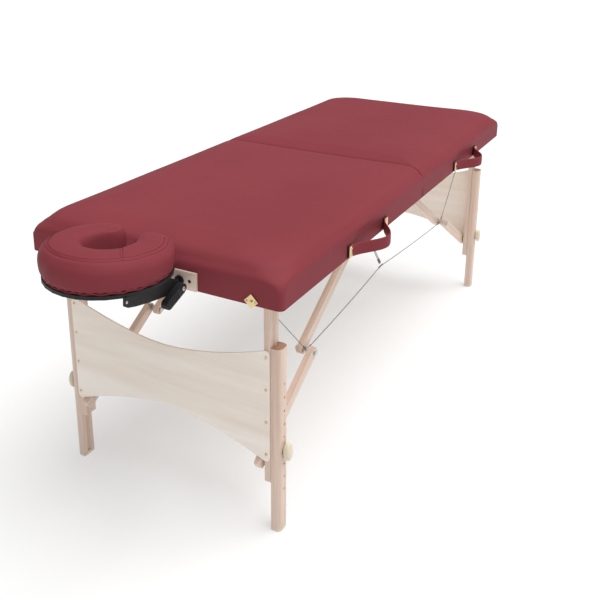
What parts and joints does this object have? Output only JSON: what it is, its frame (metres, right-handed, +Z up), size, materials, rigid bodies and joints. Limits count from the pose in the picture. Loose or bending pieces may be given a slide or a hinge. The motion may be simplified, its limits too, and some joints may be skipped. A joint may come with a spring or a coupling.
{
  "type": "portable massage table",
  "caption": "Folding wooden massage table with padded vinyl top, telescopic legs on folding cable-stayed braces, and a sliding, tilting crescent face cradle.",
  "frame": {"origin": "centre of the bounding box's base, on the floor between the four feet, with the table open", "axes": "+X from the head end with the face cradle to the foot end, +Y to the side without handles, +Z up"},
  "size_m": [2.1466, 0.8264, 0.82],
  "materials": {
    "vinyl": "satin",
    "maple": "satin varnish",
    "birch_ply": "satin varnish",
    "brass": "polished",
    "steel": "satin",
    "black_plastic": "matte",
    "black_steel": "satin",
    "cream_plastic": "satin",
    "foot_rubber": "matte"
  },
  "bodies": {
    "near_half": {"near_frame": "maple", "near_deck": "birch_ply", "near_cushion": "vinyl", "near_handle": "vinyl", "outlet_plate": "maple", "catch_plate_left": "brass", "catch_plate_right": "brass", "near_left_rail_cable": "steel", "near_right_rail_cable": "steel", "near_left_stay_cable": "steel", "near_right_stay_cable": "steel", "centre_left_cable": "steel", "centre_right_cable": "steel"},
    "hinge_barrel": {"centre_hinge_barrel": "brass"},
    "far_half": {"far_frame": "maple", "far_deck": "birch_ply", "far_cushion": "vinyl", "far_handle": "vinyl", "far_left_rail_cable": "steel", "far_right_rail_cable": "steel", "far_left_stay_cable": "steel", "far_right_stay_cable": "steel"},
    "near_legs": {"near_left_upper_leg": "maple", "near_right_upper_leg": "maple", "near_end_panel": "birch_ply"},
    "near_left_leg_extension": {"near_left_lower_leg": "maple", "near_left_foot": "foot_rubber"},
    "near_left_knob_body": {"near_left_knob": "cream_plastic"},
    "near_left_upper_brace": {"near_left_upper_link": "maple", "near_left_elbow_bolt": "steel"},
    "near_left_lower_brace": {"near_left_lower_link": "maple"},
    "near_right_leg_extension": {"near_right_lower_leg": "maple", "near_right_foot": "foot_rubber"},
    "near_right_knob_body": {"near_right_knob": "cream_plastic"},
    "near_right_upper_brace": {"near_right_upper_link": "maple", "near_right_elbow_bolt": "steel"},
    "near_right_lower_brace": {"near_right_lower_link": "maple"},
    "far_legs": {"far_left_upper_leg": "maple", "far_right_upper_leg": "maple", "far_end_panel": "birch_ply"},
    "far_left_leg_extension": {"far_left_lower_leg": "maple", "far_left_foot": "foot_rubber"},
    "far_left_knob_body": {"far_left_knob": "cream_plastic"},
    "far_left_upper_brace": {"far_left_upper_link": "maple", "far_left_elbow_bolt": "steel"},
    "far_left_lower_brace": {"far_left_lower_link": "maple"},
    "far_right_leg_extension": {"far_right_lower_leg": "maple", "far_right_foot": "foot_rubber"},
    "far_right_knob_body": {"far_right_knob": "cream_plastic"},
    "far_right_upper_brace": {"far_right_upper_link": "maple", "far_right_elbow_bolt": "steel"},
    "far_right_lower_brace": {"far_right_lower_link": "maple"},
    "latch_left": {"latch_hook_left": "brass"},
    "latch_right": {"latch_hook_right": "brass"},
    "cradle_base": {"cradle_arm": "black_steel"},
    "cradle_head": {"cradle_platform": "black_plastic", "cradle_cushion": "vinyl"},
    "cradle_lever": {"cradle_cam_lever": "black_plastic"}
  },
  "joints": [
    {"name": "centre_fold_first", "type": "hinge", "parent": "hinge_barrel", "child": "near_half", "pos_m": [0.13875, 0.03215, 0.664], "axis": [0, -1, 0], "range_deg": [0, 84], "deforming": ["centre_left_cable", "centre_right_cable"]},
    {"name": "centre_fold_second", "type": "hinge", "parent": "hinge_barrel", "child": "far_half", "pos_m": [0.13875, 0.03215, 0.664], "axis": [0, 1, 0], "range_deg": [0, 96]},
    {"name": "near_leg_fold", "type": "hinge", "parent": "near_half", "child": "near_legs", "pos_m": [-0.70575, 0.03215, 0.692], "axis": [0, -1, 0], "range_deg": [0, 90]},
    {"name": "near_left_height", "type": "slide", "parent": "near_legs", "child": "near_left_leg_extension", "axis": [0, 0, -1], "range_m": [-0.099, 0.099]},
    {"name": "near_left_knob_turn", "type": "hinge", "parent": "near_legs", "child": "near_left_knob_body", "pos_m": [-0.70575, 0.37475, 0.238], "axis": [0, 1, 0], "range_deg": [0, 720]},
    {"name": "near_left_upper_link_fold", "type": "hinge", "parent": "near_half", "child": "near_left_upper_brace", "pos_m": [0.08875, 0.28015, 0.692], "axis": [0, 1, 0], "range_deg": [0, 31.98], "deforming": ["near_left_rail_cable", "near_left_stay_cable"]},
    {"name": "near_left_lower_link_fold", "type": "hinge", "parent": "near_legs", "child": "near_left_lower_brace", "pos_m": [-0.70575, 0.31405, 0.207], "axis": [0, -1, 0], "range_deg": [0, 58.6]},
    {"name": "near_right_height", "type": "slide", "parent": "near_legs", "child": "near_right_leg_extension", "axis": [0, 0, -1], "range_m": [-0.099, 0.099]},
    {"name": "near_right_knob_turn", "type": "hinge", "parent": "near_legs", "child": "near_right_knob_body", "pos_m": [-0.70575, -0.31045, 0.238], "axis": [0, -1, 0], "range_deg": [0, 720]},
    {"name": "near_right_upper_link_fold", "type": "hinge", "parent": "near_half", "child": "near_right_upper_brace", "pos_m": [0.08875, -0.21585, 0.692], "axis": [0, 1, 0], "range_deg": [0, 31.98], "deforming": ["near_right_rail_cable", "near_right_stay_cable"]},
    {"name": "near_right_lower_link_fold", "type": "hinge", "parent": "near_legs", "child": "near_right_lower_brace", "pos_m": [-0.70575, -0.24975, 0.207], "axis": [0, -1, 0], "range_deg": [0, 58.6]},
    {"name": "far_leg_fold", "type": "hinge", "parent": "far_half", "child": "far_legs", "pos_m": [0.98325, 0.03215, 0.692], "axis": [0, 1, 0], "range_deg": [0, 90]},
    {"name": "far_left_height", "type": "slide", "parent": "far_legs", "child": "far_left_leg_extension", "axis": [0, 0, -1], "range_m": [-0.099, 0.099]},
    {"name": "far_left_knob_turn", "type": "hinge", "parent": "far_legs", "child": "far_left_knob_body", "pos_m": [0.98325, 0.37475, 0.238], "axis": [0, 1, 0], "range_deg": [0, 720]},
    {"name": "far_left_upper_link_fold", "type": "hinge", "parent": "far_half", "child": "far_left_upper_brace", "pos_m": [0.18875, 0.28015, 0.692], "axis": [0, -1, 0], "range_deg": [0, 31.98], "deforming": ["far_left_rail_cable", "far_left_stay_cable"]},
    {"name": "far_left_lower_link_fold", "type": "hinge", "parent": "far_legs", "child": "far_left_lower_brace", "pos_m": [0.98325, 0.31405, 0.207], "axis": [0, 1, 0], "range_deg": [0, 58.6]},
    {"name": "far_right_height", "type": "slide", "parent": "far_legs", "child": "far_right_leg_extension", "axis": [0, 0, -1], "range_m": [-0.099, 0.099]},
    {"name": "far_right_knob_turn", "type": "hinge", "parent": "far_legs", "child": "far_right_knob_body", "pos_m": [0.98325, -0.31045, 0.238], "axis": [0, -1, 0], "range_deg": [0, 720]},
    {"name": "far_right_upper_link_fold", "type": "hinge", "parent": "far_half", "child": "far_right_upper_brace", "pos_m": [0.18875, -0.21585, 0.692], "axis": [0, -1, 0], "range_deg": [0, 31.98], "deforming": ["far_right_rail_cable", "far_right_stay_cable"]},
    {"name": "far_right_lower_link_fold", "type": "hinge", "parent": "far_legs", "child": "far_right_lower_brace", "pos_m": [0.98325, -0.24975, 0.207], "axis": [0, 1, 0], "range_deg": [0, 58.6]},
    {"name": "latch_left_turn", "type": "hinge", "parent": "far_half", "child": "latch_left", "pos_m": [1.06575, 0.33315, 0.696], "axis": [1, 0, 0], "range_deg": [0, 90]},
    {"name": "latch_right_turn", "type": "hinge", "parent": "far_half", "child": "latch_right", "pos_m": [1.06575, -0.26885, 0.696], "axis": [-1, 0, 0], "range_deg": [0, 90]},
    {"name": "cradle_slide", "type": "slide", "parent": "near_half", "child": "cradle_base", "axis": [-1, 0, 0], "range_m": [0, 0.035]},
    {"name": "cradle_tilt", "type": "hinge", "parent": "cradle_base", "child": "cradle_head", "pos_m": [-0.82825, 0.03215, 0.687], "axis": [0, 1, 0], "range_deg": [-20, 5]},
    {"name": "cradle_cam_turn", "type": "hinge", "parent": "cradle_base", "child": "cradle_lever", "pos_m": [-0.82825, 0.03215, 0.687], "axis": [0, -1, 0], "range_deg": [0, 75]}
  ],
  "couplings": [
    {"joint": "near_leg_fold", "follows": "centre_fold_first", "ratio": 1.0714},
    {"joint": "near_left_upper_link_fold", "follows": "centre_fold_first", "ratio": 0.38071},
    {"joint": "near_left_lower_link_fold", "follows": "centre_fold_first", "ratio": 0.69762},
    {"joint": "near_right_upper_link_fold", "follows": "centre_fold_first", "ratio": 0.38071},
    {"joint": "near_right_lower_link_fold", "follows": "centre_fold_first", "ratio": 0.69762},
    {"joint": "far_leg_fold", "follows": "centre_fold_first", "ratio": 1.0714},
    {"joint": "far_left_upper_link_fold", "follows": "centre_fold_first", "ratio": 0.38071},
    {"joint": "far_left_lower_link_fold", "follows": "centre_fold_first", "ratio": 0.69762},
    {"joint": "far_right_upper_link_fold", "follows": "centre_fold_first", "ratio": 0.38071},
    {"joint": "far_right_lower_link_fold", "follows": "centre_fold_first", "ratio": 0.69762}
  ]
}
